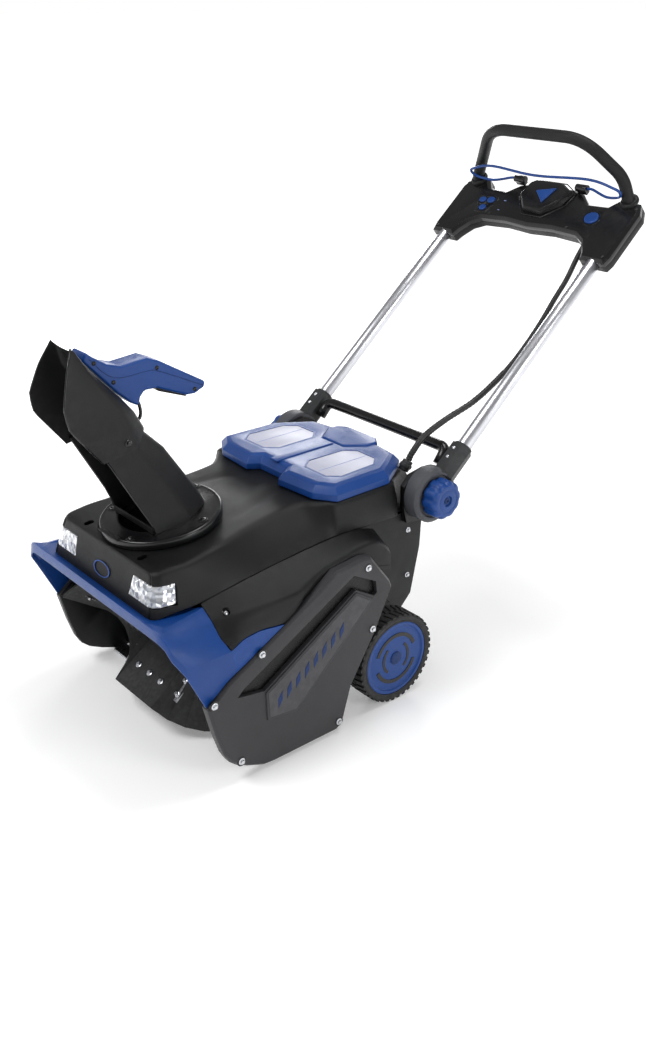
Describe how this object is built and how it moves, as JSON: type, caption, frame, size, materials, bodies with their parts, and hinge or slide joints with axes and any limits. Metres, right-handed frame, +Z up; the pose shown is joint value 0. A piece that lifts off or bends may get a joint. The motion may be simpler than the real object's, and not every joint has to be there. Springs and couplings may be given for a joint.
{
  "type": "walk-behind battery snow blower",
  "caption": "Single-stage battery snow thrower: auger between side plates, turning chute with tilting deflector, lidded battery bay and a folding tube handle with a control console.",
  "frame": {"origin": "on the ground under the middle of the machine and its handle", "axes": "+X to the operator's left, +Y from the auger mouth back towards the operator, +Z up"},
  "size_m": [0.5, 1.1616, 0.936],
  "materials": {
    "black_plastic": "satin moulded plastic",
    "blue_plastic": "satin royal blue moulded plastic",
    "grey_plastic": "mid-grey moulded plastic",
    "rubber": "black rubber",
    "tyre": "black wheel rubber with chevron tread",
    "aluminium": "satin drawn tube",
    "steel": "zinc-plated or machined steel",
    "lamp": "clear lamp lens",
    "window": "translucent frosted window"
  },
  "bodies": {
    "machine": {"auger_housing": "black_plastic", "top_cover": "black_plastic", "side_skirt_left": "black_plastic", "side_skirt_right": "black_plastic", "rear_housing": "black_plastic", "side_plate_left": "black_plastic", "side_plate_right": "black_plastic", "drive_cover_right": "black_plastic", "battery_tray": "black_plastic", "battery_left": "black_plastic", "battery_right": "black_plastic", "handle_bracket_left": "black_plastic", "handle_bracket_right": "black_plastic", "conduit_gland": "black_plastic", "front_hood": "blue_plastic", "controller_box": "grey_plastic", "drive_belt": "rubber", "cable_conduit": "rubber", "scraper_bar": "steel", "auger_bearing_left": "steel", "auger_bearing_right": "steel", "motor": "steel", "wheel_axle": "steel", "headlight_left": "lamp", "headlight_right": "lamp"},
    "auger": {"auger_shaft": "steel", "auger_flight_left": "rubber", "auger_flight_right": "rubber", "auger_centre_paddle": "rubber", "auger_pulley": "steel"},
    "motor_rotor": {"motor_pulley": "steel"},
    "wheel_left": {"wheel_tyre_left": "tyre", "wheel_hub_left": "blue_plastic"},
    "wheel_right": {"wheel_tyre_right": "tyre", "wheel_hub_right": "blue_plastic"},
    "chute": {"chute_flange": "black_plastic", "chute_body": "black_plastic"},
    "deflector": {"deflector": "black_plastic", "chute_handle": "blue_plastic"},
    "trigger": {"chute_trigger": "black_plastic"},
    "lid": {"battery_lid": "blue_plastic", "lid_window_left": "window", "lid_window_right": "window"},
    "latch": {"lid_latch": "blue_plastic"},
    "handle": {"handle_socket_left": "grey_plastic", "handle_socket_right": "grey_plastic", "handle_tube_left": "aluminium", "handle_tube_right": "aluminium", "handle_crossbar": "black_plastic", "console_top": "black_plastic", "console_base": "black_plastic", "loop_grip": "rubber"},
    "knob_left": {"pivot_knob_left": "blue_plastic"},
    "knob_right": {"pivot_knob_right": "blue_plastic"},
    "bail": {"bail_bar": "blue_plastic"},
    "safety_button": {"safety_button": "blue_plastic"},
    "start_button": {"start_button": "blue_plastic"},
    "light_button": {"light_button": "blue_plastic"},
    "speed_up_button": {"speed_up_button": "blue_plastic"},
    "speed_down_button": {"speed_down_button": "blue_plastic"}
  },
  "joints": [
    {"name": "auger_spin", "type": "hinge", "parent": "machine", "child": "auger", "pos_m": [0, -0.385, 0.118], "axis": [1, 0, 0], "continuous": true},
    {"name": "motor_spin", "type": "hinge", "parent": "machine", "child": "motor_rotor", "pos_m": [0, -0.212, 0.222], "axis": [1, 0, 0], "continuous": true},
    {"name": "wheel_left_spin", "type": "hinge", "parent": "machine", "child": "wheel_left", "pos_m": [0.2155, -0.076, 0.084], "axis": [1, 0, 0], "continuous": true},
    {"name": "wheel_right_spin", "type": "hinge", "parent": "machine", "child": "wheel_right", "pos_m": [-0.2155, -0.076, 0.084], "axis": [1, 0, 0], "continuous": true},
    {"name": "chute_turn", "type": "hinge", "parent": "machine", "child": "chute", "pos_m": [0, -0.3948, 0.3746], "axis": [0, -0.1288, 0.9917], "range_deg": [-95, 95]},
    {"name": "deflector_tilt", "type": "hinge", "parent": "chute", "child": "deflector", "pos_m": [0, -0.48, 0.535], "axis": [1, 0, 0], "range_deg": [-5, 40]},
    {"name": "trigger_squeeze", "type": "hinge", "parent": "deflector", "child": "trigger", "pos_m": [0, -0.397, 0.6105], "axis": [1, 0, 0], "range_deg": [0, 6], "stiffness_Nm_per_rad": 0.3, "springref_deg": -5.73},
    {"name": "lid_hinge", "type": "hinge", "parent": "machine", "child": "lid", "pos_m": [0, -0.1865, 0.385], "axis": [1, 0, 0], "range_deg": [0, 80]},
    {"name": "latch_flip", "type": "hinge", "parent": "lid", "child": "latch", "pos_m": [0, -0.0225, 0.4105], "axis": [1, 0, 0], "range_deg": [0, 25], "stiffness_Nm_per_rad": 0.2, "springref_deg": -5.73},
    {"name": "handle_fold", "type": "hinge", "parent": "machine", "child": "handle", "pos_m": [0, 0.04, 0.353], "axis": [1, 0, 0], "range_deg": [-12, 85], "deforming": ["cable_conduit"]},
    {"name": "knob_left_turn", "type": "hinge", "parent": "handle", "child": "knob_left", "pos_m": [0.2265, 0.04, 0.353], "axis": [1, 0, 0], "continuous": true},
    {"name": "knob_right_turn", "type": "hinge", "parent": "handle", "child": "knob_right", "pos_m": [-0.2265, 0.04, 0.353], "axis": [1, 0, 0], "continuous": true},
    {"name": "bail_squeeze", "type": "hinge", "parent": "handle", "child": "bail", "pos_m": [0, 0.55122, 0.82157], "axis": [-1, 0, 0], "range_deg": [0, 20], "stiffness_Nm_per_rad": 0.5, "springref_deg": -14.32},
    {"name": "safety_press", "type": "slide", "parent": "handle", "child": "safety_button", "axis": [0, 0.6481, -0.7615], "range_m": [0, 0.0025], "stiffness_N_per_m": 400, "springref_m": -0.001},
    {"name": "start_press", "type": "slide", "parent": "handle", "child": "start_button", "axis": [0, 0.6481, -0.7615], "range_m": [0, 0.002], "stiffness_N_per_m": 400, "springref_m": -0.001},
    {"name": "light_press", "type": "slide", "parent": "handle", "child": "light_button", "axis": [0, 0.6481, -0.7615], "range_m": [0, 0.002], "stiffness_N_per_m": 400, "springref_m": -0.001},
    {"name": "speed_up_press", "type": "slide", "parent": "handle", "child": "speed_up_button", "axis": [0, 0.6481, -0.7615], "range_m": [0, 0.002], "stiffness_N_per_m": 400, "springref_m": -0.001},
    {"name": "speed_down_press", "type": "slide", "parent": "handle", "child": "speed_down_button", "axis": [0, 0.6481, -0.7615], "range_m": [0, 0.002], "stiffness_N_per_m": 400, "springref_m": -0.001}
  ],
  "couplings": [
    {"joint": "motor_spin", "follows": "auger_spin", "ratio": 4.9}
  ]
}
